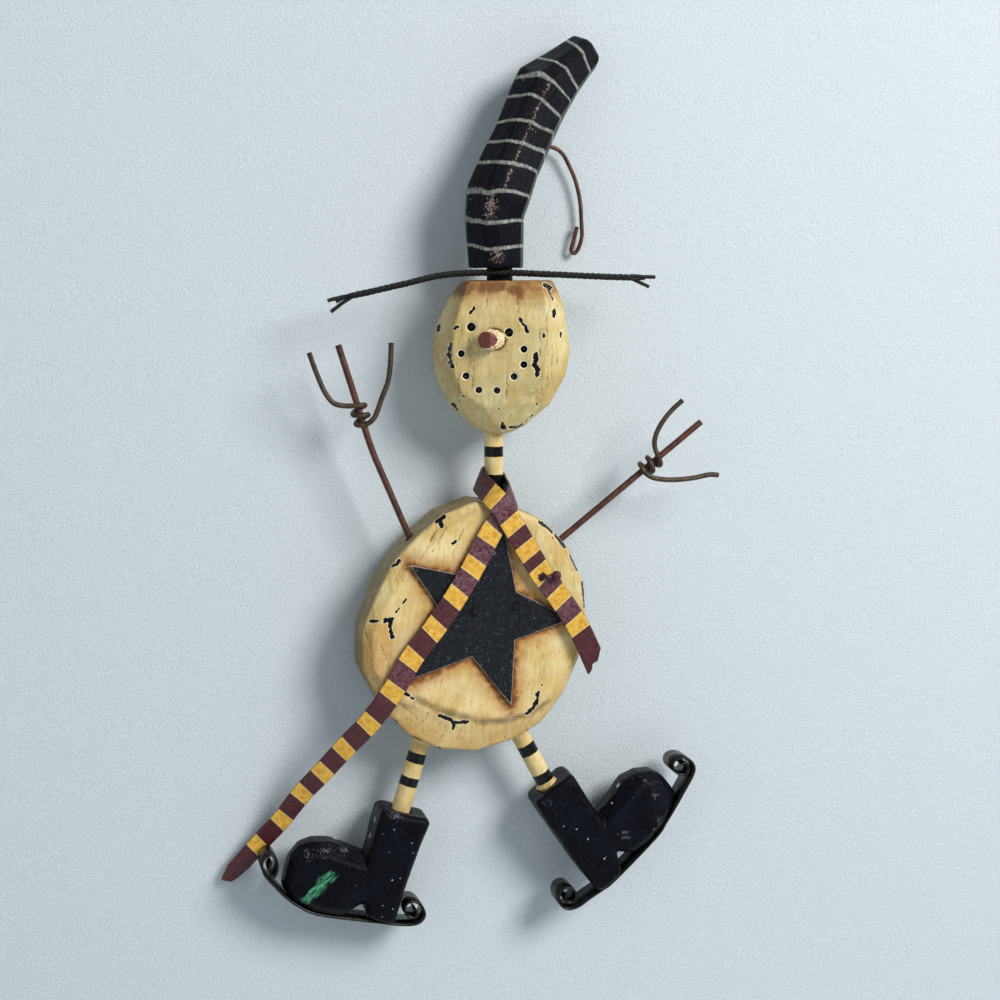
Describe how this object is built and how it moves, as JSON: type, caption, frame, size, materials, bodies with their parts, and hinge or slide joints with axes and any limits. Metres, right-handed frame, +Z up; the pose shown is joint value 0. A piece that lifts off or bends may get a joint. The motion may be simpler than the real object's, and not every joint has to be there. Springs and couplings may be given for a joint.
{
  "type": "folk art snowman ornament",
  "caption": "Whittled wooden snowman in a tall bent stocking hat, with a tin scarf and star, wire arms and rolled tin skates, hung by a wire hook behind the hat.",
  "frame": {"origin": "underside of the hanging hook's arch, where it rests on a twig", "axes": "+Z up along the figure, front towards -Y, +X to the right as seen from the front"},
  "size_m": [0.1266, 0.0287, 0.2212],
  "materials": {
    "cream_painted_wood": "chipped cream milk paint over black with a brown glaze, satin",
    "black_painted_wood": "blue-black paint, worn, semi-gloss",
    "rust_painted_wood": "dark rust-red paint with bare broken wood at one side",
    "banded_painted_tin": "glossy maroon with mustard yellow bands",
    "blue_black_painted_tin": "crinkled blue-black paint",
    "black_painted_strip": "black paint, semi-gloss",
    "twisted_dark_wire": "blackened twisted strands",
    "rusty_wire": "brown rusted iron wire"
  },
  "bodies": {
    "snowman": {"body": "cream_painted_wood", "star": "blue_black_painted_tin", "star_brad_left": "blue_black_painted_tin", "star_brad_right": "blue_black_painted_tin", "scarf": "banded_painted_tin", "scarf_brad": "banded_painted_tin", "neck_dowel": "cream_painted_wood", "head": "cream_painted_wood", "nose": "rust_painted_wood", "hat_peg": "black_painted_wood", "hat_crown": "black_painted_wood", "hat_brim": "twisted_dark_wire", "left_leg_dowel": "cream_painted_wood", "right_leg_dowel": "cream_painted_wood", "left_boot": "black_painted_wood", "right_boot": "black_painted_wood", "left_skate_blade": "black_painted_strip", "right_skate_blade": "black_painted_strip", "left_blade_brad_heel": "black_painted_strip", "left_blade_brad_toe": "black_painted_strip", "right_blade_brad_heel": "black_painted_strip", "right_blade_brad_toe": "black_painted_strip"},
    "left_arm": {"left_arm_wire": "rusty_wire", "left_hand_wire": "rusty_wire"},
    "right_arm": {"right_arm_wire": "rusty_wire", "right_hand_wire": "rusty_wire"},
    "hanger": {"hanger_hook": "rusty_wire"}
  },
  "joints": [
    {"name": "left_arm_swivel", "type": "hinge", "parent": "snowman", "child": "left_arm", "pos_m": [-0.03749, -0.01189, -0.0955], "axis": [-0.3891, 0, 0.9212], "continuous": true},
    {"name": "right_arm_swivel", "type": "hinge", "parent": "snowman", "child": "right_arm", "pos_m": [0.00079, -0.01189, -0.09768], "axis": [0.7859, 0, 0.6184], "continuous": true},
    {"name": "hanger_swivel", "type": "hinge", "parent": "snowman", "child": "hanger", "pos_m": [-0.00717, -0.0022, -0.00125], "axis": [0, 1, 0], "range_deg": [-20, 180]}
  ]
}
